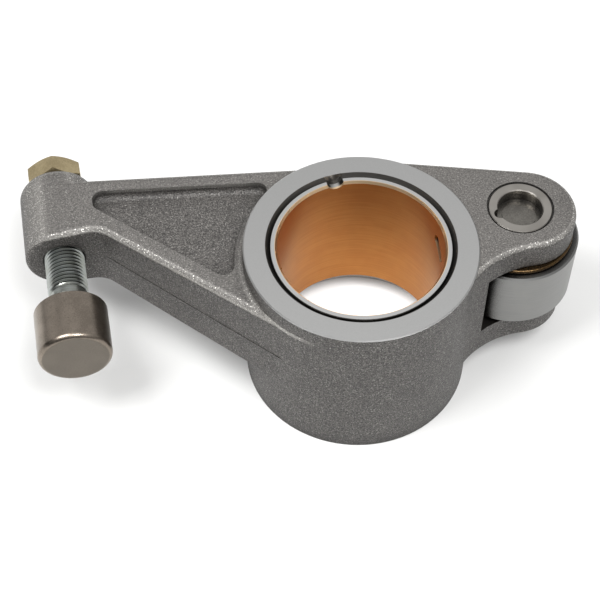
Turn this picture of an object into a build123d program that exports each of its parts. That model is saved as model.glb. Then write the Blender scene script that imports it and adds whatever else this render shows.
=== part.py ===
from build123d import *
import math
import os

# Rocker arm of a heavy diesel engine, with a roller follower and a swivel foot. All sizes in mm.
# Origin: on the axis of the shaft bore, halfway up the hub. +Z runs along the bore, +X points from
# the bore to the roller end and +Y from the swivel foot to the lock nut.

# Hub and its bimetal bush
hub_outer_d = 78.5
hub_height = 62.7
hub_edge_chamfer = 0.4
shaft_bore_d = 56.0
lining_wall = 0.75
shell_wall = 1.5
bush_recess = 0.75
bush_foot_recess = 9.3
lining_bevel_share = 0.8
lining_bevel_depth = 0.9
shell_edge_chamfer = 0.2
hub_bevel_width = 1.55
hub_bevel_depth = 2.4
mouth_share = 0.5
mouth_depth = 7.75
bush_notch_d = 6.0
bush_notch_angle = 96.2
bush_slot_length = 9.0
bush_slot_width = 2.8
bush_slot_angle = 5.6
bush_slot_z = 19.1
bush_slot_tilt = 41.0

# Height above the hub's middle at which the arm, the slot and the roller are centred
working_z = 6.3

# How far inside the hub's wall the arm's and the fork's walls run out
wall_inset = 0.4

# How far cutters reach past the faces they cut, and how near counts as touching
overrun = 2.0
near = 0.01

# Screw boss and the adjusting screw in it
boss_x = -98.16
boss_front_y = 31.33
boss_length = 32.27
boss_d = 26.6
boss_front_round = 1.6
boss_back_round = 5.0
thread_major_d = 13.85
thread_clearance = 0.05
thread_mouth_d = 15.0

# Arm between the boss and the hub
arm_rise = 0.077
arm_fall = 0.016
arm_back_y = 56.72
arm_neck_x = -85.12
arm_top_round = 2.6
arm_foot_round = 1.4
arm_corner_round = 9.0
back_rib_width = 6.0
front_rib_width = 6.6
pocket_depth = 4.0
pocket_end_x = -85.5
pocket_hub_gap = 2.4
pocket_corner_share = 0.5
pocket_floor_round = 2.2
hub_cove = 2.2
parting_ridge = 0.2
parting_ridge_height = 0.9

# Fork at the roller end
pin_x = 56.19
pin_y = 6.73
ear_shift_x = 2.2
ear_shift_y = -0.3
ear_r = 16.9
ear_step = 0.6
lower_ear_thickness = 11.8
fork_blend_r = 33.0
ear_top_round = 2.2
ear_foot_round = 1.4
slot_cutter_r = 36.5
slot_root_gap = 0.9

# Roller, its floating bush, the thrust washers and the hollow pin
roller_d = 43.0
roller_width = 24.0
roller_edge_chamfer = 0.6
roller_bore_d = 27.0
pin_d = 21.6
pin_relief_width = 0.6
pin_relief_depth = 1.0
running_clearance = 0.04
washer_thickness = 1.6
washer_outer_d = 38.6
washer_round_share = 0.4
side_clearance = 0.15
pin_oil_bore_d = 11.0
pin_recess_d = 15.2
pin_recess_depth = 6.6
pin_edge_chamfer = 0.3
pin_notch_d = 4.0
pin_notch_angle = 191.0
plug_thickness = 2.0
plug_button_d = 11.4
plug_button_height = 0.5

# Adjusting screw, lock nut and swivel foot
screw_end_y = 72.75
screw_end_chamfer = 1.0
screw_hex_across = 6.0
screw_hex_depth = 7.0
thread_end_y = 14.63
neck_d = 13.0
throat_gap = 0.4
nut_across_flats = 18.4
nut_height = 7.8
nut_chamfer_d = 17.0
nut_chamfer_angle = 30.0
nut_collar_height = 0.6
nut_seat_gap = 0.05
foot_d = 25.0
foot_length = 19.5
foot_back_y = 8.13
foot_face_round = 1.9
foot_back_chamfer = 0.6
ball_d = 16.0
ball_y = -0.27
ball_clearance = 0.08
ball_neck_d = 10.6
foot_mouth_chamfer = 1.0
clip_y = 4.83
clip_wire_d = 1.8
clip_inner_d = 13.8
clip_gap_angle = 40.0
clip_side_play = 0.95
clip_rim_play = 0.65

# Oil drillings in the arm
oil_drill_d = 4.0
oil_start_depth = 3.0
pin_oil_d = 3.0
pin_oil_start_angle = 10.5
pin_oil_roof = 0.2
pin_oil_below_plug = 0.95

# Sizes worked out from the ones above
hub_r = hub_outer_d / 2
runout_r = hub_r - wall_inset
lining_outer_d = shaft_bore_d + 2 * lining_wall
shell_outer_d = lining_outer_d + 2 * shell_wall
hub_top_z = hub_height / 2
bush_top_z = hub_top_z - bush_recess
bush_foot_z = -hub_top_z + bush_foot_recess
bush_length = bush_top_z - bush_foot_z
bush_middle_z = (bush_top_z + bush_foot_z) / 2
boss_r = boss_d / 2
boss_back_y = boss_front_y + boss_length
slot_height = roller_width + 2 * washer_thickness + 4 * side_clearance
slot_top_z = working_z + slot_height / 2
fork_top_z = hub_top_z - ear_step
fork_foot_z = working_z - slot_height / 2 - lower_ear_thickness
fork_height = fork_top_z - fork_foot_z
fork_middle_z = (fork_top_z + fork_foot_z) / 2
thread_bore_d = thread_major_d + 2 * thread_clearance
roller_bush_outer_d = roller_bore_d - 2 * running_clearance
roller_bush_bore_d = pin_d + 2 * running_clearance
ear_x = pin_x + ear_shift_x
ear_y = pin_y + ear_shift_y
pin_oil_start_z = slot_top_z + pin_oil_roof + pin_oil_d / 2
pin_oil_end_z = fork_top_z - pin_recess_depth - pin_oil_below_plug


def arm_top_z(x):
    """Height of the arm's sloping top face: level with the boss, rising toward the hub."""
    return working_z + boss_r + arm_rise * (x - boss_x)


def arm_foot_z(x):
    """Height of the arm's lower face, which sinks a little toward the hub."""
    return working_z - boss_r - arm_fall * (x - boss_x)


def hub_tangent(x, y, side):
    """Point where the line from (x, y) touches the run-out circle in the hub; side is +1 or -1."""
    turn = math.acos(runout_r / math.hypot(x, y))
    angle = math.atan2(y, x) - side * turn
    return runout_r * math.cos(angle), runout_r * math.sin(angle)


def cross(a, b, c, d):
    """Crossing point of the line through a and b with the line through c and d."""
    ax, ay = a
    bx, by = b
    cx, cy = c
    dx, dy = d
    offset = (cx - ax) * (dy - cy) - (cy - ay) * (dx - cx)
    spread = (bx - ax) * (dy - cy) - (by - ay) * (dx - cx)
    along = offset / spread
    return ax + along * (bx - ax), ay + along * (by - ay)


def shifted(a, b, distance):
    """The line from a to b, moved sideways to its left by the distance."""
    length = math.hypot(b[0] - a[0], b[1] - a[1])
    sx = -(b[1] - a[1]) / length * distance
    sy = (b[0] - a[0]) / length * distance
    return (a[0] + sx, a[1] + sy), (b[0] + sx, b[1] + sy)


def tube(outer_d, inner_d, length, z):
    """Tube about +Z, centred on z."""
    ring = Cylinder(outer_d / 2, length) - Cylinder(inner_d / 2, length + overrun)
    return Pos(0, 0, z) * ring


def along_y(solid, x, y, z):
    """Turns a solid made about +Z so that it lies along +Y, with its middle at (x, y, z)."""
    return Pos(x, y, z) * Rot(-90, 0, 0) * solid


# Corners of the arm's plan: both long walls run on to touch the hub circle
front_neck = (arm_neck_x, boss_front_y)
back_end = (boss_x, arm_back_y)
front_touch = hub_tangent(*front_neck, -1)
back_touch = hub_tangent(*back_end, 1)


def arm_slopes():
    """Slopes of the arm's top face and of its lower face, in degrees."""
    return math.degrees(math.atan(arm_rise)), math.degrees(math.atan(arm_fall))


def arm_blank():
    """Wedge-shaped arm from the boss to the hub, with its edges rounded as forged."""
    plan = Polygon(
        (boss_x, boss_front_y),
        front_neck,
        front_touch,
        (0, 0),
        back_touch,
        back_end,
        align=None,
    )
    reach = 4 * abs(boss_x)
    rise, fall = arm_slopes()
    blank = Pos(0, 0, arm_foot_z(0) - overrun) * extrude(plan, hub_height)
    above = Box(reach, reach, hub_height, align=(Align.CENTER, Align.CENTER, Align.MIN))
    below = Box(reach, reach, hub_height, align=(Align.CENTER, Align.CENTER, Align.MAX))
    blank -= Pos(boss_x, 0, arm_top_z(boss_x)) * Rot(0, -rise, 0) * above
    blank -= Pos(boss_x, 0, arm_foot_z(boss_x)) * Rot(0, fall, 0) * below
    neck = blank.edges().filter_by(Axis.Z).filter_by(lambda edge: abs(edge.center().X - arm_neck_x) < near)
    blank = fillet(neck, arm_corner_round)
    top_rims = blank.faces().sort_by(Axis.Z)[-1].edges().filter_by(on_long_wall)
    blank = fillet(top_rims, arm_top_round)
    foot_rims = blank.faces().sort_by(Axis.Z)[0].edges().filter_by(on_long_wall)
    return fillet(foot_rims, arm_foot_round)


def on_long_wall(edge):
    """True for the arm's rims along its two walls, and false at the boss and inside the hub."""
    middle = edge.center()
    inside_hub = math.hypot(middle.X, middle.Y) < runout_r - wall_inset
    return middle.X > boss_x + wall_inset and not inside_hub


def pocket_plan():
    """Outline of the web pocket, a rib's width inside the arm's walls, with rounded corners."""
    back_wall = shifted(back_touch, back_end, back_rib_width)
    front_wall = shifted(front_neck, front_touch, front_rib_width)
    end = ((pocket_end_x, 0), (pocket_end_x, 1))
    far = ((0, 0), (0, 1))
    front_corner = cross(*front_wall, *end)
    back_corner = cross(*back_wall, *end)
    plan = Polygon(
        front_corner,
        cross(*front_wall, *far),
        cross(*back_wall, *far),
        back_corner,
        align=None,
    )
    plan -= Circle(hub_r + pocket_hub_gap)
    web = Sketch() + plan.faces().sort_by(Axis.X)[0]
    return fillet(web.vertices(), pocket_corner_share * (back_corner[1] - front_corner[1]))


def pockets():
    """Cutters for the shallow pockets in both faces of the web."""
    cutter = extrude(pocket_plan(), hub_height / 3)
    cutter = fillet(cutter.faces().sort_by(Axis.Z)[0].edges(), pocket_floor_round)
    rise, fall = arm_slopes()
    from_boss = Pos(-boss_x, 0, 0)
    upper = Pos(boss_x, 0, arm_top_z(boss_x) - pocket_depth) * Rot(0, -rise, 0) * from_boss * cutter
    turned = mirror(cutter, Plane.XY)
    lower = Pos(boss_x, 0, arm_foot_z(boss_x) + pocket_depth) * Rot(0, fall, 0) * from_boss * turned
    return upper + lower


def parting_ridges():
    """Thin trimmed ridges at mid height along the arm's two long walls."""
    ridges = []
    for start, end in ((front_neck, front_touch), (back_touch, back_end)):
        length = math.hypot(end[0] - start[0], end[1] - start[1])
        heading = math.degrees(math.atan2(end[1] - start[1], end[0] - start[0]))
        strip = Box(length, 2 * parting_ridge, parting_ridge_height, align=(Align.MIN, Align.CENTER, Align.CENTER))
        ridges.append(Pos(start[0], start[1], working_z) * Rot(0, 0, heading) * strip)
    return ridges


def screw_boss():
    """Round boss along Y at the arm's end."""
    boss = along_y(Cylinder(boss_r, boss_length), boss_x, boss_front_y + boss_length / 2, working_z)
    rims = boss.edges().sort_by(Axis.Y)
    boss = fillet(rims[-1], boss_back_round)
    return fillet(boss.edges().sort_by(Axis.Y)[0], boss_front_round)


def toward(x, y, target_x, target_y, distance):
    """Point at the given distance from (x, y), in the direction of the target."""
    length = math.hypot(target_x - x, target_y - y)
    return x + (target_x - x) * distance / length, y + (target_y - y) * distance / length


def fork_plan():
    """Outline of the fork: a straight wall at the back, a hollow sweep at the front, a round tip."""
    reach = math.hypot(ear_x, ear_y)
    heading = math.atan2(ear_y, ear_x)
    square_off = heading + math.pi / 2 - math.asin((runout_r - ear_r) / reach)
    back_hub = (runout_r * math.cos(square_off), runout_r * math.sin(square_off))
    back_ear = (ear_x + ear_r * math.cos(square_off), ear_y + ear_r * math.sin(square_off))
    to_hub = runout_r + fork_blend_r
    to_ear = ear_r + fork_blend_r
    along = (reach**2 + to_hub**2 - to_ear**2) / (2 * reach)
    aside = math.sqrt(to_hub**2 - along**2)
    sweep_x = along * math.cos(heading) + aside * math.sin(heading)
    sweep_y = along * math.sin(heading) - aside * math.cos(heading)
    front_hub = toward(0, 0, sweep_x, sweep_y, runout_r)
    front_ear = toward(ear_x, ear_y, sweep_x, sweep_y, ear_r)
    between = ((front_hub[0] + front_ear[0]) / 2, (front_hub[1] + front_ear[1]) / 2)
    tip = (ear_x + ear_r * math.cos(heading), ear_y + ear_r * math.sin(heading))
    outline = [
        Line((0, 0), front_hub),
        ThreePointArc(front_hub, toward(sweep_x, sweep_y, *between, fork_blend_r), front_ear),
        ThreePointArc(front_ear, tip, back_ear),
        Line(back_ear, back_hub),
        Line(back_hub, (0, 0)),
    ]
    return make_face(outline)


def fork():
    """Block that carries both ears, with its outer rims rounded."""
    block = Pos(0, 0, fork_foot_z) * extrude(fork_plan(), fork_height)
    top_rims = block.faces().sort_by(Axis.Z)[-1].edges().filter_by(outside_hub)
    block = fillet(top_rims, ear_top_round)
    foot_rims = block.faces().sort_by(Axis.Z)[0].edges().filter_by(outside_hub)
    return fillet(foot_rims, ear_foot_round)


def outside_hub(edge):
    """True for an edge whose middle lies outside the hub's wall."""
    middle = edge.center()
    return math.hypot(middle.X, middle.Y) > hub_r + wall_inset


def slot_cutter():
    """Disc-shaped cutter that mills the roller slot and leaves a hollow wall behind the roller."""
    root_x = pin_x - roller_d / 2 - slot_root_gap
    disc = Cylinder(slot_cutter_r, slot_height)
    return Pos(root_x + slot_cutter_r, pin_y, working_z) * disc


def drilling(start, end, diameter):
    """Straight drilled hole between two points."""
    direction = Vector(*end) - Vector(*start)
    plane = Plane(origin=start, z_dir=direction)
    return extrude(plane * Circle(diameter / 2), direction.length)


def oil_drillings():
    """Oil ways from the bush to the adjusting screw and to the roller pin."""
    inside = shell_outer_d / 2 - oil_start_depth
    boss_middle_y = boss_front_y + boss_length / 2
    screw_angle = math.atan2(boss_middle_y, boss_x)
    pin_angle = math.radians(pin_oil_start_angle)
    to_screw = drilling(
        (inside * math.cos(screw_angle), inside * math.sin(screw_angle), working_z),
        (boss_x, boss_middle_y, working_z),
        oil_drill_d,
    )
    to_pin = drilling(
        (inside * math.cos(pin_angle), inside * math.sin(pin_angle), pin_oil_start_z),
        (pin_x, pin_y, pin_oil_end_z),
        pin_oil_d,
    )
    return to_screw, to_pin


def bush_notch():
    """Half-round notch across the bush's top edge, out to the rim of the hub's bevel."""
    start = shaft_bore_d / 2 - overrun
    run = shell_outer_d / 2 + hub_bevel_width - start
    pin = Cylinder(bush_notch_d / 2, run, align=(Align.CENTER, Align.CENTER, Align.MIN))
    return Rot(0, 0, bush_notch_angle) * Pos(start, 0, hub_top_z) * Rot(0, 90, 0) * pin


def bush_oil_slot():
    """Slanted oil slot through the bush, where the drilling to the roller pin begins."""
    start = shaft_bore_d / 2 - overrun
    run = shell_outer_d / 2 - start
    slot = extrude(Rot(0, 0, bush_slot_tilt) * SlotOverall(bush_slot_length, bush_slot_width), run)
    wall = Plane(origin=(start, 0, bush_slot_z), x_dir=(0, 1, 0), z_dir=(1, 0, 0))
    return Rot(0, 0, bush_slot_angle) * (wall * slot)


def on_hub_wall(edge):
    """True for an edge that lies on the hub's outer wall, between its two end faces."""
    places = [edge.position_at(share) for share in (0.1, 0.5, 0.9)]
    on_wall = all(abs(math.hypot(place.X, place.Y) - hub_r) < near for place in places)
    between = abs(places[1].Z) < hub_height / 2 - 2 * hub_edge_chamfer
    return on_wall and between and places[1].X < hub_r / 2


def hub_and_arm():
    """Hub and arm with the hollow sweep where the arm meets the hub's wall."""
    hub = chamfer(Cylinder(hub_r, hub_height).edges().filter_by(GeomType.CIRCLE), hub_edge_chamfer)
    joined = hub + (arm_blank() + screw_boss() - pockets())
    return fillet(joined.edges().filter_by(on_hub_wall), hub_cove)


def hub_bore():
    """Cutter for the hub's bore: bevelled at the top and opened into a wide mouth below."""
    seat_r = shell_outer_d / 2
    cutter = Cylinder(seat_r, hub_height + overrun)
    bevel = Cone(seat_r, seat_r + hub_bevel_width, hub_bevel_depth)
    cutter += Pos(0, 0, hub_top_z - hub_bevel_depth / 2) * bevel
    mouth_r = seat_r + mouth_share * (hub_r - seat_r)
    mouth = Cone(mouth_r, seat_r, mouth_depth)
    return cutter + Pos(0, 0, -hub_top_z + mouth_depth / 2) * mouth


def rocker_body():
    """Forged body: hub, ribbed arm, screw boss and roller fork in one piece."""
    body = hub_and_arm()
    for ridge in parting_ridges():
        body += ridge
    body += fork()
    body -= slot_cutter()
    body -= hub_bore()
    body -= Pos(pin_x, pin_y, fork_middle_z) * Cylinder(pin_d / 2, fork_height + overrun)
    relief = Cylinder(pin_d / 2 + pin_relief_width, 2 * pin_relief_depth)
    body -= Pos(pin_x, pin_y, fork_top_z) * relief
    body -= Pos(pin_x, pin_y, fork_foot_z) * relief
    boss_middle_y = boss_front_y + boss_length / 2
    threaded = Cylinder(thread_bore_d / 2, boss_length + overrun)
    body -= along_y(threaded, boss_x, boss_middle_y, working_z)
    lead_in = (thread_mouth_d - thread_bore_d) / 2
    countersink = Cone(thread_mouth_d / 2, thread_bore_d / 2, lead_in)
    body -= along_y(countersink, boss_x, boss_front_y + lead_in / 2, working_z)
    for drilled in oil_drillings():
        body -= drilled
    body -= bush_notch()
    return body


def bush():
    """Steel-backed bush: the shell pressed into the hub and the bronze lining on it."""
    shell = Cylinder(shell_outer_d / 2, bush_length)
    shell = chamfer(shell.edges().filter_by(GeomType.CIRCLE), shell_edge_chamfer)
    shell = Pos(0, 0, bush_middle_z) * (shell - Cylinder(lining_outer_d / 2, bush_length + overrun))
    lining = tube(lining_outer_d, shaft_bore_d, bush_length, bush_middle_z)
    bevel_r = shaft_bore_d / 2 + lining_wall * lining_bevel_share
    bevel = Cone(shaft_bore_d / 2, bevel_r, lining_bevel_depth)
    lining -= Pos(0, 0, bush_top_z - lining_bevel_depth / 2) * bevel
    lining -= Pos(0, 0, bush_foot_z + lining_bevel_depth / 2) * Rot(180, 0, 0) * bevel
    for cutter in (*oil_drillings(), bush_notch(), bush_oil_slot()):
        shell -= cutter
        lining -= cutter
    return shell, lining


def at_pin(solid, z=working_z):
    """Moves a solid made about +Z at the origin to the pin's axis, at the roller's height or z."""
    return Pos(pin_x, pin_y, z) * solid


def roller():
    """Hardened roller with bevelled rims."""
    body = Cylinder(roller_d / 2, roller_width)
    body = chamfer(body.edges().filter_by(GeomType.CIRCLE), roller_edge_chamfer)
    return at_pin(body - Cylinder(roller_bore_d / 2, roller_width + overrun))


def roller_bush():
    """Bronze bush that floats between the roller and the pin."""
    return at_pin(tube(roller_bush_outer_d, roller_bush_bore_d, roller_width, 0))


def thrust_washer(side):
    """Bronze washer between the roller and an ear, with rounded rims; side is +1 or -1."""
    washer = Cylinder(washer_outer_d / 2, washer_thickness)
    washer = fillet(washer.edges().filter_by(GeomType.CIRCLE), washer_thickness * washer_round_share)
    washer -= Cylinder(roller_bush_bore_d / 2, washer_thickness + overrun)
    middle = roller_width / 2 + side_clearance + washer_thickness / 2
    return at_pin(Pos(0, 0, side * middle) * washer)


def roller_pin():
    """Hollow pin pressed into both ears, recessed at each end for its plug."""
    pin = chamfer(Cylinder(pin_d / 2, fork_height).edges().filter_by(GeomType.CIRCLE), pin_edge_chamfer)
    pin -= Cylinder(pin_oil_bore_d / 2, fork_height + overrun)
    mouth_z = (fork_height - pin_recess_depth) / 2
    mouth = Cylinder(pin_recess_d / 2, pin_recess_depth)
    mouth += Pos(0, 0, (pin_recess_depth - pin_edge_chamfer) / 2) * Cone(
        pin_recess_d / 2, pin_recess_d / 2 + pin_edge_chamfer, pin_edge_chamfer
    )
    pin -= Pos(0, 0, mouth_z) * mouth
    pin -= Pos(0, 0, -mouth_z) * Rot(180, 0, 0) * mouth
    notch = Cylinder(pin_notch_d / 2, pin_recess_depth / 2)
    notch_z = fork_height / 2 - pin_recess_depth / 4
    pin -= Rot(0, 0, pin_notch_angle) * Pos(pin_recess_d / 2, 0, notch_z) * notch
    feed = Cylinder(pin_oil_d / 2, pin_d, align=(Align.CENTER, Align.CENTER, Align.MIN))
    to_roller = at_pin(Rot(90, 0, 0) * feed)
    return at_pin(pin, fork_middle_z) - to_roller - oil_drillings()[1]


def pin_plug(side):
    """Pressed cap that closes one end of the pin's oil bore."""
    plug = Cylinder(pin_recess_d / 2, plug_thickness)
    plug += Pos(0, 0, (plug_thickness + plug_button_height) / 2) * Cylinder(plug_button_d / 2, plug_button_height)
    top = fork_height / 2 - pin_recess_depth + plug_thickness / 2
    return at_pin(Rot(0 if side > 0 else 180, 0, 0) * Pos(0, 0, top) * plug, fork_middle_z)


def adjusting_screw():
    """Ball-ended adjusting screw: threaded shank, plain neck and ball, with a hexagon socket."""
    r = thread_major_d / 2
    neck_r = neck_d / 2
    throat_y = foot_back_y - throat_gap
    ball_r = ball_d / 2
    throat_r = ball_neck_d / 2
    ball_top = ball_y + math.sqrt(ball_r**2 - throat_r**2)
    with BuildPart() as screw:
        with BuildSketch(Plane.XY):
            with BuildLine():
                Polyline(
                    (0, screw_end_y),
                    (r - screw_end_chamfer, screw_end_y),
                    (r, screw_end_y - screw_end_chamfer),
                    (r, thread_end_y),
                    (neck_r, thread_end_y - (r - neck_r)),
                    (neck_r, throat_y),
                    (throat_r, throat_y - (neck_r - throat_r)),
                    (throat_r, ball_top),
                )
                ThreePointArc((throat_r, ball_top), (ball_r, ball_y), (0, ball_y - ball_r))
                Line((0, ball_y - ball_r), (0, screw_end_y))
            make_face()
        revolve(axis=Axis.Y)
    socket = extrude(RegularPolygon(screw_hex_across / 2, 6, major_radius=False), screw_hex_depth)
    shank = screw.part - Pos(0, screw_end_y, 0) * Rot(90, 0, 0) * socket
    return Pos(boss_x, 0, working_z) * shank


def lock_nut():
    """Hexagon nut with a round collar toward the boss, bevelled, one corner upward."""
    corner_r = nut_across_flats / 2 / math.cos(math.pi / 6)
    outside_r = corner_r + near
    bevel_height = (corner_r - nut_chamfer_d / 2) * math.tan(math.radians(nut_chamfer_angle))
    prism = extrude(RegularPolygon(nut_across_flats / 2, 6, major_radius=False), nut_height)
    envelope = Cylinder(outside_r, nut_height - 2 * bevel_height)
    cap = Cone(outside_r, nut_chamfer_d / 2, bevel_height)
    cap_z = (nut_height - bevel_height) / 2
    envelope += Pos(0, 0, cap_z) * cap
    envelope += Pos(0, 0, -cap_z) * Rot(180, 0, 0) * cap
    nut = (Pos(0, 0, -nut_height / 2) * prism) & envelope
    collar = Cylinder(nut_chamfer_d / 2, nut_collar_height)
    nut += Pos(0, 0, -(nut_height + nut_collar_height) / 2) * collar
    nut -= Cylinder(thread_bore_d / 2, 2 * nut_height)
    middle_y = boss_back_y + nut_seat_gap + nut_collar_height + nut_height / 2
    return along_y(Rot(0, 0, 30) * nut, boss_x, middle_y, working_z)


def swivel_foot():
    """Cylindrical foot with a flat valve face, a ball socket and a groove for its clip."""
    foot_r = foot_d / 2
    socket_r = ball_d / 2 + ball_clearance
    groove_r = clip_inner_d / 2 + clip_wire_d + clip_rim_play
    groove_half = clip_wire_d / 2 + clip_side_play
    front_y = foot_back_y - foot_length
    with BuildPart() as foot:
        with BuildSketch(Plane.XY):
            with BuildLine():
                Polyline(
                    (0, front_y),
                    (foot_r, front_y),
                    (foot_r, foot_back_y - foot_back_chamfer),
                    (foot_r - foot_back_chamfer, foot_back_y),
                    (socket_r + foot_mouth_chamfer, foot_back_y),
                    (socket_r, foot_back_y - foot_mouth_chamfer),
                    (socket_r, clip_y + groove_half),
                    (groove_r, clip_y + groove_half),
                    (groove_r, clip_y - groove_half),
                    (socket_r, clip_y - groove_half),
                    (socket_r, ball_y),
                )
                RadiusArc((socket_r, ball_y), (0, ball_y - socket_r), socket_r)
                Line((0, ball_y - socket_r), (0, front_y))
            make_face()
        revolve(axis=Axis.Y)
    solid = foot.part
    rim = solid.edges().filter_by(GeomType.CIRCLE).sort_by(Axis.Y)[0]
    return Pos(boss_x, 0, working_z) * fillet(rim, foot_face_round)


def foot_clip():
    """Open wire ring that keeps the foot on the ball."""
    path_r = (clip_inner_d + clip_wire_d) / 2
    section = Plane.XZ * Pos(path_r, 0) * Circle(clip_wire_d / 2)
    ring = revolve(section, Axis.Z, 360 - clip_gap_angle)
    turned = Rot(0, 0, 90 + clip_gap_angle / 2) * ring
    return along_y(turned, boss_x, clip_y, working_z)


def make_nodes():
    """Every piece of the rocker arm by name."""
    shell, lining = bush()
    return {
        "rocker_body": rocker_body(),
        "bush_shell": shell,
        "bush_lining": lining,
        "roller": roller(),
        "roller_bush": roller_bush(),
        "thrust_washer_upper": thrust_washer(1),
        "thrust_washer_lower": thrust_washer(-1),
        "roller_pin": roller_pin(),
        "pin_plug_upper": pin_plug(1),
        "pin_plug_lower": pin_plug(-1),
        "adjusting_screw": adjusting_screw(),
        "lock_nut": lock_nut(),
        "swivel_foot": swivel_foot(),
        "foot_clip": foot_clip(),
    }


os.makedirs("parts", exist_ok=True)
for name, shape in make_nodes().items():
    export_step(shape, f"parts/{name}.step")
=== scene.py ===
import math

import bmesh
import bpy
from mathutils import Matrix, Vector


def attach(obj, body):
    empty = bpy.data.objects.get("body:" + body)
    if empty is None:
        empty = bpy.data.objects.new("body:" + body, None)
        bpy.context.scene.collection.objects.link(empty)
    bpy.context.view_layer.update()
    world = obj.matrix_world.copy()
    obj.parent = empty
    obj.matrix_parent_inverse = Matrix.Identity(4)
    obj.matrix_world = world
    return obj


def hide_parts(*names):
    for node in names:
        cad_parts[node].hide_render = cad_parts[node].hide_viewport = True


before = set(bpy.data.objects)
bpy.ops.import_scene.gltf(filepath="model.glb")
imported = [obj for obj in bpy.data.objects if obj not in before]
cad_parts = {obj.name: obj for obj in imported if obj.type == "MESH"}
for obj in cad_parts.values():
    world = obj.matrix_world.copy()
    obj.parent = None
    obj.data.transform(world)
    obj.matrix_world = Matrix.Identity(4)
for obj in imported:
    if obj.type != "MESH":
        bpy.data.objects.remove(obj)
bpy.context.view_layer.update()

# Diesel rocker arm: a forged body that rocks on a bronze-lined bush, with a roller in its fork and
# a ball-ended adjusting screw that carries a swivel foot. Lengths are in millimetres, except
# where a comment says metres. A pair of limits is given in the order that step_up takes them.
MM = 0.001
WORKING_Z = 6.3
BOSS_X = -98.16
PIN_Y = 6.73
HUB_HALF = 31.35


def linear(code):
    """An sRGB hex colour as the linear colour that a shader takes."""
    channels = [int(code[i : i + 2], 16) / 255 for i in (1, 3, 5)]
    flat = [c / 12.92 if c <= 0.04045 else ((c + 0.055) / 1.055) ** 2.4 for c in channels]
    return (*flat, 1.0)


def add(tree, kind, settings=None, links=None):
    """A node with its settings and links; a key is a property, a socket's name or its number."""
    node = tree.nodes.new(kind)
    for key, value in (settings or {}).items():
        if isinstance(key, str) and key not in node.inputs:
            setattr(node, key, value)
        else:
            node.inputs[key].default_value = value
    for key, output in (links or {}).items():
        tree.links.new(output, node.inputs[key])
    return node


# Camera, as the photograph was taken
CAMERA_AZIMUTH = math.radians(-10.72)
CAMERA_ELEVATION = math.radians(53.21)
CAMERA_ROLL = math.radians(0.42)
CAMERA_DISTANCE = 535.79
CAMERA_SIDE = -19.71
CAMERA_RISE = 17.85
CAMERA_SCALE = 1.015
CAMERA_DROP = -29.55
FRAME_PIXELS = 600
FOCAL_PIXELS = 1500
SENSOR_WIDTH = 36
NEAR_CLIP_METRES = 0.01


def place_camera():
    """Camera at the photograph's angle and distance."""
    level = Vector((math.cos(CAMERA_AZIMUTH), math.sin(CAMERA_AZIMUTH), 0))
    outward = Vector((level.y, -level.x, 0))
    back = outward * math.cos(CAMERA_ELEVATION) + Vector((0, 0, math.sin(CAMERA_ELEVATION)))
    upright = back.cross(level)
    side = math.cos(CAMERA_ROLL) * level + math.sin(CAMERA_ROLL) * upright
    rise = math.cos(CAMERA_ROLL) * upright - math.sin(CAMERA_ROLL) * level
    eye = CAMERA_DISTANCE * back + CAMERA_SIDE * side + CAMERA_RISE * rise
    eye = eye * CAMERA_SCALE + Vector((0, 0, CAMERA_DROP))
    data = bpy.data.cameras.new("camera")
    data.sensor_width = SENSOR_WIDTH
    data.lens = FOCAL_PIXELS / FRAME_PIXELS * SENSOR_WIDTH
    data.clip_start = NEAR_CLIP_METRES
    camera = bpy.data.objects.new("camera", data)
    bpy.context.scene.collection.objects.link(camera)
    turn = Matrix((side, rise, back)).transposed().to_4x4()
    camera.matrix_world = Matrix.Translation(eye * MM) @ turn
    bpy.context.scene.camera = camera


place_camera()


# Parts that the finishes are built from

def new_material(name):
    """An empty node material with its shader and output."""
    material = bpy.data.materials.new(name)
    material.use_nodes = True
    tree = material.node_tree
    tree.nodes.clear()
    shader = add(tree, "ShaderNodeBsdfPrincipled")
    add(tree, "ShaderNodeOutputMaterial", links={"Surface": shader.outputs["BSDF"]})
    return material, tree, shader


def maths(tree, operation, first, second=None, clamp=False):
    """One sum on two numbers or outputs."""
    node = add(tree, "ShaderNodeMath", {"operation": operation, "use_clamp": clamp})
    for place, value in enumerate((first, second)):
        if isinstance(value, bpy.types.NodeSocket):
            tree.links.new(value, node.inputs[place])
        elif value is not None:
            node.inputs[place].default_value = value
    return node.outputs[0]


def product(tree, first, *factors):
    """The product of numbers and outputs."""
    for factor in factors:
        first = maths(tree, "MULTIPLY", first, factor)
    return first


def total(tree, first, *terms):
    """The sum of numbers and outputs."""
    for term in terms:
        first = maths(tree, "ADD", first, term)
    return first


def split(tree, vector):
    """The x, y and z of a vector."""
    return add(tree, "ShaderNodeSeparateXYZ", links={0: vector}).outputs


def step_up(tree, value, low, high):
    """0 below low, 1 above high, with a soft step between; swapped limits step down."""
    ramp = add(
        tree,
        "ShaderNodeMapRange",
        {"interpolation_type": "SMOOTHSTEP", "From Min": low, "From Max": high},
        {"Value": value},
    )
    return ramp.outputs["Result"]


def step_mm(tree, length, low, high):
    """step_up on a length in metres, with its limits in millimetres."""
    return step_up(tree, length, low * MM, high * MM)


def mixed(tree, share, first, second):
    """A mix of two colours, each a hex code or an output."""
    node = add(tree, "ShaderNodeMix", {"data_type": "RGBA"})
    sockets = [s for s in node.inputs if s.type == "RGBA"]
    for socket, value in zip(sockets, (first, second)):
        if isinstance(value, str):
            socket.default_value = linear(value)
        else:
            tree.links.new(value, socket)
    tree.links.new(share, node.inputs["Factor"])
    return [s for s in node.outputs if s.type == "RGBA"][0]


NOISE_ROUGHNESS = 0.55


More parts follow.
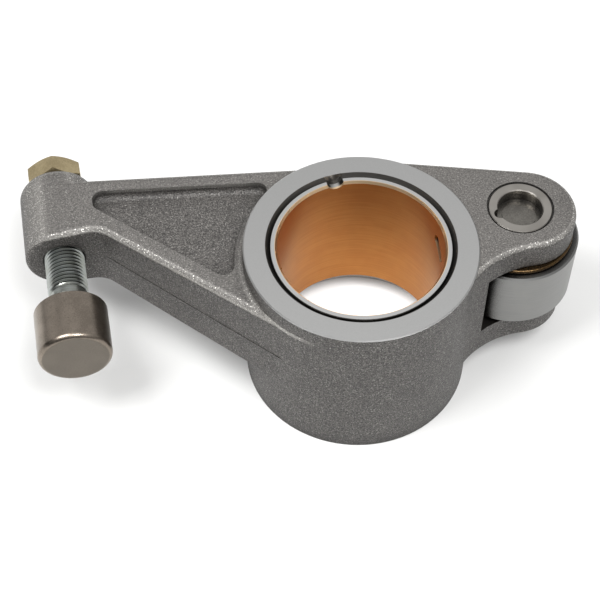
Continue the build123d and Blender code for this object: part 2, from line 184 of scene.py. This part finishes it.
def noise(tree, place, size_mm, detail=2.0, stretch=(1, 1, 1)):
    """Noise whose features are about size_mm across, stretched along an axis by its share."""
    squeezed = add(
        tree,
        "ShaderNodeMapping",
        {"Scale": [1 / (size_mm * MM * s) for s in stretch]},
        {"Vector": place},
    )
    field = add(
        tree,
        "ShaderNodeTexNoise",
        {"Scale": 1.0, "Detail": detail, "Roughness": NOISE_ROUGHNESS},
        {"Vector": squeezed.outputs["Vector"]},
    )
    return field.outputs["Fac"]


def bump(tree, height, depth_mm, strength, under=None):
    """Surface relief of the given depth."""
    node = add(
        tree,
        "ShaderNodeBump",
        {"Strength": strength, "Distance": depth_mm * MM},
        {"Height": height},
    )
    if under is not None:
        tree.links.new(under, node.inputs["Normal"])
    return node.outputs["Normal"]


def distance_to_axis(tree, x, y, axis_x=0.0, axis_y=0.0):
    """Distance in metres from an upright axis."""
    aside = maths(tree, "SUBTRACT", x, axis_x * MM)
    ahead = maths(tree, "SUBTRACT", y, axis_y * MM)
    squares = total(tree, maths(tree, "POWER", aside, 2.0), maths(tree, "POWER", ahead, 2.0))
    return maths(tree, "SQRT", squares)


CREVICE_RAYS = 6


def crevice(tree, reach_mm):
    """0 on open faces, rising toward 1 in corners and hollows of the given reach."""
    node = add(
        tree,
        "ShaderNodeAmbientOcclusion",
        {"samples": CREVICE_RAYS, "Distance": reach_mm * MM},
    )
    return maths(tree, "SUBTRACT", 1.0, node.outputs["AO"], clamp=True)


# Edges of the forged body. A slope is the upright share of a face's normal, and a drop is the
# depth below the body's top face.
ARM_TOP_Z = 19.6
ARM_RISE = 0.077
EAR_STEP = 0.6
LEVEL_SLOPE = (0.985, 0.90)
# Where the rims and the pocket's lip take a painted highlight, partly real rubbing
RIM_SLOPE = (0.30, 0.62)
RIM_DROP = (3.0, 2.4)
BOSS_X_LIMITS = (-83, -88)
BOSS_DROP = (12.0, 1.0)
LIP_SLOPE = (0.70, 0.45)
LIP_TOP = (-0.3, 0.0)
LIP_FOOT = (1.9, 1.1)
LIP_X_LIMITS = (-20, -30)
# Where the rib tops are painted lighter, as painted light
TOP_LIGHT_SLOPE = (0.75, 0.95)
TOP_LIGHT_DROP = (3.0, 1.2)


def forged_edges(tree, x, z, slope):
    """How far a place is on the rim and on the pocket's lip, which take a painted highlight, and on the
    rib's top, which is painted lighter.
    """
    rib_top = total(tree, product(tree, x, ARM_RISE), (ARM_TOP_Z - ARM_RISE * BOSS_X) * MM)
    top = maths(tree, "MINIMUM", rib_top, (HUB_HALF - EAR_STEP) * MM)
    drop = maths(tree, "SUBTRACT", top, z)
    boss = product(tree, step_mm(tree, x, *BOSS_X_LIMITS), step_mm(tree, drop, *BOSS_DROP))
    upper = maths(tree, "MAXIMUM", step_mm(tree, drop, *RIM_DROP), boss)
    rim_highlight = product(tree, step_up(tree, slope, *RIM_SLOPE), upper)
    lip_highlight = product(
        tree,
        step_mm(tree, drop, *LIP_TOP),
        step_mm(tree, drop, *LIP_FOOT),
        step_mm(tree, x, *LIP_X_LIMITS),
        step_up(tree, slope, *LIP_SLOPE),
    )
    rim_highlight = product(tree, step_up(tree, slope, *LEVEL_SLOPE), maths(tree, "MAXIMUM", rim_highlight, lip_highlight))
    rib_drop = maths(tree, "SUBTRACT", rib_top, z)
    top_light = product(tree, step_up(tree, slope, *TOP_LIGHT_SLOPE), step_mm(tree, rib_drop, *TOP_LIGHT_DROP))
    return rim_highlight, lip_highlight, top_light


# Machined faces of the forged body
FACE_DEPTH = 0.5
CUT_STEP = 0.1
MOUTH_R = 34.8
SEAT_R = 31.8
SEAT_Z_LIMITS = (0.0, 2.0)
SLOT_CENTRE_X = 70.29
SLOT_R = 36.5
SLOT_HALF = 13.9
SLOT_EDGE = 0.06


def machined_faces(tree, x, y, z):
    """How far a place is on any machined face, on the bush's seat and in the roller's slot."""
    level = maths(tree, "ABSOLUTE", z)
    ends = step_mm(tree, level, HUB_HALF - FACE_DEPTH, HUB_HALF - FACE_DEPTH + CUT_STEP)
    radius = distance_to_axis(tree, x, y)
    bore = step_mm(tree, radius, MOUTH_R + CUT_STEP, MOUTH_R)
    seat = product(
        tree,
        step_mm(tree, radius, SEAT_R + CUT_STEP, SEAT_R),
        step_mm(tree, z, *SEAT_Z_LIMITS),
    )
    height = maths(tree, "ABSOLUTE", maths(tree, "SUBTRACT", z, WORKING_Z * MM))
    slot_radius = distance_to_axis(tree, x, y, SLOT_CENTRE_X, PIN_Y)
    slot = product(
        tree,
        step_mm(tree, slot_radius, SLOT_R + 2 * SLOT_EDGE, SLOT_R + SLOT_EDGE),
        step_mm(tree, height, SLOT_HALF + 2 * SLOT_EDGE, SLOT_HALF + SLOT_EDGE),
    )
    cut = maths(tree, "MAXIMUM", maths(tree, "MAXIMUM", ends, bore), slot)
    return cut, seat, slot


# Forged skin: the size of each grain, where its tone steps and how much of the tone shows
GRIT_MM = 0.55
GRIT_LIMITS = (0.36, 0.64)
SPARKLE_MM = 0.48
SPARKLE_DETAIL = 1.0
SPARKLE_LIMITS = (0.57, 0.72)
MARKS_MM = 0.8
MARKS_STRETCH = (1, 1, 12)
MARKS_LIMITS = (0.52, 0.66)
MARKS_SHARE = 0.22
SCALE_MM = 9.0
SCALE_DETAIL = 4.0
SCALE_LIMITS = (0.45, 0.70)
SCALE_SHARE = 0.30
# Share of painted light on the rib tops
TOP_LIGHT_SHARE = 0.20
OPEN_GLINT = 0.26
# Painted highlight: more bright flecks and a plain lightening on the rims and the lip
RIM_FLECKS_HIGHLIGHT = 0.74
RIM_HIGHLIGHT_SHARE = 0.15
LIP_HIGHLIGHT_SHARE = 0.25
# Painted shade in the body's corners and hollows, from occlusion
CORNER_SHADE_REACH_MM = 9.0
CORNER_SHADE_LIMITS = (0.06, 0.62)
CORNER_SHADE_SHARE = 0.80
LATHE_MM = 0.5
SKIN_ROUGHNESS = 0.50
SPARKLE_POLISH = 0.18
BARE_ROUGHNESS = 0.40
SKIN_METALLIC = 0.25
WAVE_DEPTH_MM = 0.9
WAVE_STRENGTH = 0.5
PEEN_DEPTH_MM = 0.38
PEEN_STRENGTH = 0.9


def forged_body():
    """Forged steel, shot-blasted: a dark grey skin of fine peened grit that glints. Its rims and the
    pocket's lip carry a painted highlight, partly real rubbing, its rib tops are painted lighter and
    its corners carry painted shade. The hub's end faces, its bore and the roller's slot are machined
    bare; the bush's seat and the slot are painted darker as shade."""
    material, tree, shader = new_material("shot_blasted_forged_steel")
    source = add(tree, "ShaderNodeTexCoord").outputs
    place = source["Object"]
    x, y, z = split(tree, place)
    slope = split(tree, source["Normal"])[2]
    rim_highlight, lip_highlight, top_light = forged_edges(tree, x, z, slope)
    cut, seat, slot = machined_faces(tree, x, y, z)

    grit = noise(tree, place, GRIT_MM)
    sparkle = step_up(tree, noise(tree, place, SPARKLE_MM, SPARKLE_DETAIL), *SPARKLE_LIMITS)
    marks = step_up(tree, noise(tree, place, MARKS_MM, stretch=MARKS_STRETCH), *MARKS_LIMITS)
    scale = noise(tree, place, SCALE_MM, SCALE_DETAIL)
    flakes = step_up(tree, scale, *SCALE_LIMITS)
    # Painted shade: corners and hollows darken with occlusion
    corner_shade = step_up(tree, crevice(tree, CORNER_SHADE_REACH_MM), *CORNER_SHADE_LIMITS)
    # Bright flecks over the skin, with a painted highlight on the rims and the lip
    flecks_and_highlight = product(tree, sparkle, total(tree, OPEN_GLINT, product(tree, rim_highlight, RIM_FLECKS_HIGHLIGHT)))
    flecks_and_highlight = maths(tree, "ADD", flecks_and_highlight, product(tree, rim_highlight, RIM_HIGHLIGHT_SHARE), clamp=True)
    flecks_and_highlight = maths(tree, "ADD", flecks_and_highlight, product(tree, lip_highlight, LIP_HIGHLIGHT_SHARE), clamp=True)

    skin = mixed(tree, step_up(tree, grit, *GRIT_LIMITS), "#333130", "#615e5b")
    skin = mixed(tree, product(tree, flakes, SCALE_SHARE), skin, "#363432")
    skin = mixed(tree, product(tree, marks, MARKS_SHARE), skin, "#2e2c2a")
    # Painted light: the rib tops are lighter
    skin = mixed(tree, product(tree, top_light, TOP_LIGHT_SHARE), skin, "#8b8884")
    # Painted highlight on the flecks, the rims and the lip
    skin = mixed(tree, flecks_and_highlight, skin, "#dedbd5")
    # Painted shade in the corners and hollows
    skin = mixed(tree, product(tree, corner_shade, CORNER_SHADE_SHARE), skin, "#262422")
    bare = mixed(tree, noise(tree, place, LATHE_MM), "#b6b6b5", "#bfbfbe")
    # Painted shade: the bush's seat and the roller's slot are darkened where they lie in shade
    bare = mixed(tree, seat, bare, "#64625f")
    bare = mixed(tree, slot, bare, "#45423e")
    tree.links.new(mixed(tree, cut, skin, bare), shader.inputs["Base Color"])

    rough_skin = maths(tree, "SUBTRACT", SKIN_ROUGHNESS, product(tree, sparkle, SPARKLE_POLISH))
    # Sockets 0, 2 and 3 are the share and the two numbers that it mixes
    rough = add(
        tree,
        "ShaderNodeMix",
        {"data_type": "FLOAT", 3: BARE_ROUGHNESS},
        {0: cut, 2: rough_skin},
    )
    tree.links.new(rough.outputs[0], shader.inputs["Roughness"])
    # Machined faces and flecks are more metallic, and so are the rims and the lip under their painted
    # highlight
    polished = product(tree, maths(tree, "MAXIMUM", cut, flecks_and_highlight), 1 - SKIN_METALLIC)
    tree.links.new(total(tree, SKIN_METALLIC, polished), shader.inputs["Metallic"])

    uncut = maths(tree, "SUBTRACT", 1.0, cut)
    waves = bump(tree, product(tree, scale, uncut), WAVE_DEPTH_MM, WAVE_STRENGTH)
    relief = bump(tree, product(tree, uncut, grit), PEEN_DEPTH_MM, PEEN_STRENGTH, waves)
    tree.links.new(relief, shader.inputs["Normal"])
    return material


def bare_metal(tree, shader, colour, rough, relief):
    """Joins a bare metal's colour, roughness and relief to its shader."""
    shader.inputs["Metallic"].default_value = 1.0
    tree.links.new(colour, shader.inputs["Base Color"])
    tree.links.new(rough, shader.inputs["Roughness"])
    tree.links.new(relief, shader.inputs["Normal"])


# Turned and ground metals
AHEAD = 1
UPRIGHT = 2
LINE_LENGTH = 40.0
LINE_SHARE = 0.6
LINE_STRENGTH = 0.5
PATCH_MM = 8.0
TURNED_LIMITS = (0.35, 0.65)
TURNED_SWING = 0.08
EDGE_FADE = 0.2
HOLLOW_SHADE_LIMITS = (0.10, 0.46)


def turned_metal(
    name, dark, light, roughness, line_mm, axis=UPRIGHT, relief_mm=0.02, shade_reach_mm=0, edge=None, tilt=0.15
):
    """A turned or ground metal: lines run round the axis and the tone wanders a little. Hollows of
    the given reach are darkened as painted shade. Faces that look upward can be painted a lighter
    colour as a painted highlight, from the given slope on."""
    material, tree, shader = new_material(name)
    source = add(tree, "ShaderNodeTexCoord").outputs
    stretch = [LINE_LENGTH] * 3
    stretch[axis] = 1.0
    lines = noise(tree, source["Object"], line_mm, stretch=stretch)
    patches = noise(tree, source["Object"], PATCH_MM)
    share = total(tree, product(tree, lines, LINE_SHARE), product(tree, patches, 1 - LINE_SHARE))
    colour = mixed(tree, step_up(tree, share, *TURNED_LIMITS), dark, light)
    # Painted highlight on the faces that look upward
    if edge:
        upward = split(tree, source["Normal"])[2]
        colour = mixed(tree, step_up(tree, upward, tilt, tilt + EDGE_FADE), colour, edge)
    # Painted shade in hollows, from occlusion
    if shade_reach_mm:
        hollow_shade = step_up(tree, crevice(tree, shade_reach_mm), *HOLLOW_SHADE_LIMITS)
        colour = mixed(tree, hollow_shade, colour, "#1d1b19")
    rough = total(tree, roughness - TURNED_SWING / 2, product(tree, patches, TURNED_SWING))
    bare_metal(tree, shader, colour, rough, bump(tree, lines, relief_mm, LINE_STRENGTH))
    return material


# Tumbled and etched metals
GRAIN_DETAIL = 3.0
GRAIN_SHARE = 0.5
GRAIN_DEPTH_MM = 0.02
GRAIN_STRENGTH = 0.6
CLOUD_MM = 7.0
SATIN_LIMITS = (0.36, 0.64)
SATIN_SWING = 0.12
FRONT_LIMITS = (-0.90, -0.99)
FRONT_SHARE = 0.8


def satin_metal(name, dark, light, roughness, grain_mm, front_shade=None):
    """A tumbled or etched metal with an even, fine grain. A face that looks forward, as the
    foot's, can be given a darker colour as painted shade."""
    material, tree, shader = new_material(name)
    source = add(tree, "ShaderNodeTexCoord").outputs
    grain = noise(tree, source["Object"], grain_mm, GRAIN_DETAIL)
    clouds = noise(tree, source["Object"], CLOUD_MM)
    share = total(tree, product(tree, grain, GRAIN_SHARE), product(tree, clouds, 1 - GRAIN_SHARE))
    colour = mixed(tree, step_up(tree, share, *SATIN_LIMITS), dark, light)
    # Painted shade on the face that looks forward
    if front_shade:
        forward = step_up(tree, split(tree, source["Normal"])[1], *FRONT_LIMITS)
        colour = mixed(tree, product(tree, forward, FRONT_SHARE), colour, front_shade)
    rough = total(tree, roughness - SATIN_SWING / 2, product(tree, grain, SATIN_SWING))
    bare_metal(tree, shader, colour, rough, bump(tree, grain, GRAIN_DEPTH_MM, GRAIN_STRENGTH))
    return material


FINISHES = {
    "rocker_body": forged_body(),
    # The bush's steel back is painted dark as shade in its gap and painted bright as a highlight on its
    # ground end
    "bush_shell": turned_metal(
        "ground_steel_bush_back",
        "#4c4a47",
        "#5a5855",
        roughness=0.36,
        line_mm=0.5,
        relief_mm=0.003,
        edge="#cccccb",
        tilt=0.75,
    ),
    # Bored bronze: a warm copper-gold with fine tool lines round the bore, and a painted highlight on its
    # upward end
    "bush_lining": turned_metal(
        "bored_bronze_lining",
        "#bd8148",
        "#c78d4f",
        roughness=0.34,
        line_mm=0.45,
        relief_mm=0.0015,
        edge="#ffdfb4",
    ),
    # Ground roller steel: light grey with a silky sheen, darkened by painted shade near the fork and the
    # washers
    "roller": turned_metal(
        "ground_roller_steel",
        "#828281",
        "#888886",
        roughness=0.37,
        line_mm=0.35,
        relief_mm=0.001,
        shade_reach_mm=8.0,
    ),
    "roller_bush": turned_metal(
        "turned_bronze_bush",
        "#8c6a3c",
        "#a17e4c",
        roughness=0.34,
        line_mm=0.45,
    ),
    # Turned pin steel, with painted shade in its recess
    "roller_pin": turned_metal(
        "turned_pin_steel",
        "#9a9690",
        "#aeaaa4",
        roughness=0.32,
        line_mm=0.4,
        relief_mm=0.006,
        shade_reach_mm=8.0,
    ),
    # Yellow zinc plate, dulled to olive
    "lock_nut": satin_metal("yellow_zinc_plate", "#ae9e7c", "#c6b691", roughness=0.32, grain_mm=0.6),
    # Hardened and tumbled foot: brownish grey, satin, with painted shade on its forward face
    "swivel_foot": satin_metal(
        "tumbled_hardened_steel",
        "#7d746a",
        "#92887d",
        roughness=0.30,
        grain_mm=0.5,
        front_shade="#625d56",
    ),
    "foot_clip": satin_metal("drawn_clip_wire", "#7d7d7c", "#979795", roughness=0.28, grain_mm=0.4),
}
# Lapped thrust washers, browned by oil, and plugs of pressed steel
for end, suffix in (("upper", ""), ("lower", "_lower")):
    FINISHES[f"thrust_washer_{end}"] = satin_metal(
        f"oil_browned_bronze{suffix}", "#3e3122", "#5c4930", roughness=0.28, grain_mm=0.6
    )
    FINISHES[f"pin_plug_{end}"] = satin_metal(
        f"pressed_plug_steel{suffix}", "#6e6b66", "#86837d", roughness=0.30, grain_mm=0.5
    )

for node, material in FINISHES.items():
    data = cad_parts[node].data
    data.materials.clear()
    data.materials.append(material)


# Adjusting screw with its thread
SCREW_R = 6.925
THREAD_PITCH = 1.5
THREAD_DEPTH = 0.92
FLANK_SHARE = 5 / 16
CREST_SHARE = 1 / 8
THREAD_LOW_Y = 14.63
THREAD_HIGH_Y = 72.75
THREAD_RUN_OUT = 2.4
ROOT_R = SCREW_R - THREAD_DEPTH
END_R = 5.9
NECK_R = 6.5
NECK_LOW_Y = 7.73
THROAT_R = 5.3
BALL_R = 8.0
BALL_Y = -0.27
SOCKET_ACROSS = 6.0
SOCKET_DEPTH = 7.0
SOCKET_SIDES = 6
LEAD_TURNS = 1.5
SPARE_TURNS = 2
TURN_STEPS = 40
BALL_RINGS = 12
MERGE_GAP = 0.001
LEVEL_GAP = 0.01
SHARP_TURN = math.radians(25)


def finished(mesh, name):
    """Turns a bmesh into an object, smooth except across its sharp edges."""
    data = bpy.data.meshes.new(name)
    mesh.to_mesh(data)
    mesh.free()
    data.shade_smooth()
    data.set_sharp_from_angle(angle=SHARP_TURN)
    piece = bpy.data.objects.new(name, data)
    bpy.context.scene.collection.objects.link(piece)
    return piece


def of_kind(items, kind):
    """The items of one kind, such as edges."""
    return [item for item in items if isinstance(item, kind)]


def rim_edges(mesh, pick):
    """The open edges at the shank's lower end, where pick is min, or its upper end, with max."""
    open_edges = [edge for edge in mesh.edges if edge.is_boundary]
    level = pick(edge.verts[0].co.y for edge in open_edges)
    return [
        edge
        for edge in open_edges
        if all(abs(vert.co.y - level) < LEVEL_GAP for vert in edge.verts)
    ]


def drawn_out(mesh, edges, radius, y):
    """Extrudes a ring of edges to a new radius and height, and returns the new ring."""
    made = bmesh.ops.extrude_edge_only(mesh, edges=edges)["geom"]
    for vert in of_kind(made, bmesh.types.BMVert):
        share = radius / math.hypot(vert.co.x, vert.co.z)
        vert.co = Vector((vert.co.x * share, y, vert.co.z * share))
    return of_kind(made, bmesh.types.BMEdge)


def thread_limits(y):
    """Least and greatest radius at a height: full thread, faded out at the neck and the tip."""
    fade = min(1.0, max(0.0, (y - THREAD_LOW_Y) / THREAD_RUN_OUT))
    low = NECK_R - (NECK_R - ROOT_R) * fade
    high = NECK_R + (SCREW_R - NECK_R) * min(1.0, fade * 2)
    high = min(high, END_R + (THREAD_HIGH_Y - y))
    return min(low, high), high


def wound_thread(mesh):
    """The threaded shank, wound as a helix, cut off at both ends and faded out there."""
    flank = THREAD_PITCH * FLANK_SHARE
    crest = THREAD_PITCH * CREST_SHARE
    rise = (THREAD_PITCH - 2 * flank - crest) / 2
    profile = [
        (ROOT_R, 0),
        (ROOT_R, rise),
        (SCREW_R, rise + flank),
        (SCREW_R, rise + flank + crest),
        (ROOT_R, THREAD_PITCH - rise),
        (ROOT_R, THREAD_PITCH),
    ]
    # It starts below the thread and ends above it, and the rest is cut off
    start = THREAD_LOW_Y - LEAD_TURNS * THREAD_PITCH
    turns = math.ceil((THREAD_HIGH_Y - THREAD_LOW_Y) / THREAD_PITCH) + SPARE_TURNS
    points = [mesh.verts.new((r, start + y, 0)) for r, y in profile]
    edges = [mesh.edges.new(pair) for pair in zip(points, points[1:])]
    bmesh.ops.spin(
        mesh,
        geom=points + edges,
        cent=(0, 0, 0),
        axis=(0, 1, 0),
        dvec=(0, THREAD_PITCH / TURN_STEPS, 0),
        angle=2 * math.pi * turns,
        steps=TURN_STEPS * turns,
        use_merge=False,
        use_duplicate=False,
    )
    bmesh.ops.remove_doubles(mesh, verts=mesh.verts, dist=MERGE_GAP)
    for y, outward in ((THREAD_LOW_Y, -1), (THREAD_HIGH_Y, 1)):
        bmesh.ops.bisect_plane(
            mesh,
            geom=mesh.verts[:] + mesh.edges[:] + mesh.faces[:],
            plane_co=(0, y, 0),
            plane_no=(0, outward, 0),
            clear_outer=True,
        )
    for vert in mesh.verts:
        radius = math.hypot(vert.co.x, vert.co.z)
        low, high = thread_limits(vert.co.y)
        share = min(max(radius, low), high) / radius
        vert.co.x *= share
        vert.co.z *= share


def neck_and_ball(mesh):
    """Closes the shank's lower end with the plain neck, the throat and the ball."""
    ring = drawn_out(mesh, rim_edges(mesh, min), NECK_R, NECK_LOW_Y)
    ring = drawn_out(mesh, ring, THROAT_R, NECK_LOW_Y - (NECK_R - THROAT_R))
    start_angle = math.asin(THROAT_R / BALL_R)
    for step in range(BALL_RINGS):
        angle = start_angle + (math.pi - start_angle) * step / BALL_RINGS
        ring = drawn_out(mesh, ring, BALL_R * math.sin(angle), BALL_Y + BALL_R * math.cos(angle))
    bmesh.ops.contextual_create(mesh, geom=ring)


def hexagon_socket(mesh):
    """Closes the tip with a hexagon socket."""
    outer = rim_edges(mesh, max)
    radius = SOCKET_ACROSS / 2 / math.cos(math.pi / SOCKET_SIDES)
    hexagon = bmesh.ops.create_circle(mesh, segments=SOCKET_SIDES, radius=radius)["verts"]
    turn = Matrix.Translation((0, THREAD_HIGH_Y, 0)) @ Matrix.Rotation(math.pi / 2, 4, "X")
    bmesh.ops.transform(mesh, matrix=turn, verts=hexagon)
    inner = list({edge for vert in hexagon for edge in vert.link_edges})
    bmesh.ops.bridge_loops(mesh, edges=outer + inner)
    floor = bmesh.ops.extrude_edge_only(mesh, edges=inner)["geom"]
    deeper = of_kind(floor, bmesh.types.BMVert)
    bmesh.ops.translate(mesh, vec=(0, -SOCKET_DEPTH, 0), verts=deeper)
    bmesh.ops.contextual_create(mesh, geom=of_kind(floor, bmesh.types.BMEdge))


def threaded_screw():
    """Adjusting screw with a rolled thread, a plain neck, a ball and a hexagon socket."""
    mesh = bmesh.new()
    wound_thread(mesh)
    neck_and_ball(mesh)
    hexagon_socket(mesh)
    bmesh.ops.recalc_face_normals(mesh, faces=mesh.faces)
    placed = Matrix.Scale(MM, 4) @ Matrix.Translation((BOSS_X, 0, WORKING_Z))
    bmesh.ops.transform(mesh, matrix=placed, verts=mesh.verts)
    return finished(mesh, "threaded_adjusting_screw")


screw = threaded_screw()
# Painted shade darkens the thread's grooves
screw.data.materials.append(
    turned_metal(
        "rolled_screw_steel",
        "#9a9d96",
        "#afb3b2",
        roughness=0.30,
        line_mm=0.5,
        axis=AHEAD,
        shade_reach_mm=0.8,
    )
)
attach(screw, "screw")
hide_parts("adjusting_screw")


# Floor
FLOOR_METRES = 12.0
FLOOR_GAP = 0.02
FLOOR_ROUGHNESS = 0.9
FLOOR_LIFT = 0.13
BORE_LIFT = 0.50
BORE_LIMITS = (36, 28)
FAR_LIMITS = (250, 700)


def white_floor():
    """A pale table. For what the camera and the metal see it is lifted toward white, and it keeps
    the shadow. Through the bore the camera sees it whiter still, a painted light that takes out
    the shade there, and far off it is plain white."""
    mesh = bmesh.new()
    bmesh.ops.create_grid(mesh, x_segments=1, y_segments=1, size=FLOOR_METRES / 2)
    bmesh.ops.translate(mesh, vec=(0, 0, -(HUB_HALF + FLOOR_GAP) * MM), verts=mesh.verts)
    floor = finished(mesh, "floor")
    material, tree, shader = new_material("white_table")
    shader.inputs["Base Color"].default_value = linear("#cfcfce")
    shader.inputs["Roughness"].default_value = FLOOR_ROUGHNESS
    shader.inputs["Specular IOR Level"].default_value = 0.0
    seen = add(tree, "ShaderNodeLightPath").outputs
    by_camera = seen["Is Camera Ray"]
    share = maths(tree, "MAXIMUM", by_camera, seen["Is Glossy Ray"])
    share = maths(tree, "MAXIMUM", share, seen["Is Transmission Ray"])
    place = add(tree, "ShaderNodeTexCoord").outputs["Object"]
    x, y = split(tree, place)[:2]
    distance = distance_to_axis(tree, x, y)
    # Painted light: under the bore the floor is lifted whiter, taking out its shade
    under_bore = product(tree, step_mm(tree, distance, *BORE_LIMITS), by_camera)
    far_off = product(tree, step_mm(tree, distance, *FAR_LIMITS), by_camera)
    lift = maths(tree, "MAXIMUM", product(tree, share, FLOOR_LIFT), far_off)
    lift = total(tree, lift, product(tree, under_bore, BORE_LIFT))
    shader.inputs["Emission Color"].default_value = linear("#ffffff")
    tree.links.new(lift, shader.inputs["Emission Strength"])
    floor.data.materials.append(material)


# Lamps, with their places and sizes in metres
LAMPS = {
    "key_lamp": {"place": (-0.42, -0.12, 0.78), "size": 0.35, "watts": 6.5},
    "rim_lamp": {"place": (0.12, -0.36, 0.80), "size": 0.30, "watts": 5.5},
}


def soft_lamp(name, place, size, watts):
    """A square soft box that faces the hub."""
    data = bpy.data.lights.new(name, "AREA")
    data.shape = "SQUARE"
    data.size = size
    data.energy = watts
    lamp = bpy.data.objects.new(name, data)
    bpy.context.scene.collection.objects.link(lamp)
    turn = Vector(place).to_track_quat("Z", "Y").to_matrix().to_4x4()
    lamp.matrix_world = Matrix.Translation(place) @ turn


# Room, by direction: across, behind and height are parts of the unit vector that points there
SKY_LEAN = 0.3
SKY_LIMITS = (0.10, 0.90)
SCREEN_ACROSS = 0.70
SCREEN_BEHIND = 0.59
SCREEN_HEIGHT = 0.39
SCREEN_LIMITS = (0.90, 0.985)


def surroundings():
    """A room that is pale overhead and dark at the horizon, with a pale screen behind on either
    side. The camera itself sees plain white."""
    world = bpy.data.worlds.new("studio")
    world.use_nodes = True
    tree = world.node_tree
    tree.nodes.clear()
    across, behind, height = split(tree, add(tree, "ShaderNodeTexCoord").outputs["Generated"])
    overhead = total(tree, height, product(tree, across, SKY_LEAN))
    toward_screen = total(
        tree,
        product(tree, maths(tree, "ABSOLUTE", across), SCREEN_ACROSS),
        product(tree, behind, SCREEN_BEHIND),
        product(tree, height, SCREEN_HEIGHT),
    )
    sky = step_up(tree, overhead, *SKY_LIMITS)
    screens = step_up(tree, toward_screen, *SCREEN_LIMITS)
    tone = mixed(tree, maths(tree, "MAXIMUM", sky, screens), "#2c2c2c", "#e2e2e2")
    seen = add(tree, "ShaderNodeLightPath").outputs["Is Camera Ray"]
    tone = mixed(tree, seen, tone, "#ffffff")
    air = add(tree, "ShaderNodeBackground", {"Strength": 1.0}, {"Color": tone})
    add(tree, "ShaderNodeOutputWorld", links={"Surface": air.outputs[0]})
    bpy.context.scene.world = world


white_floor()
surroundings()
for name, lamp in LAMPS.items():
    soft_lamp(name, **lamp)
bpy.context.scene.view_settings.view_transform = "Standard"
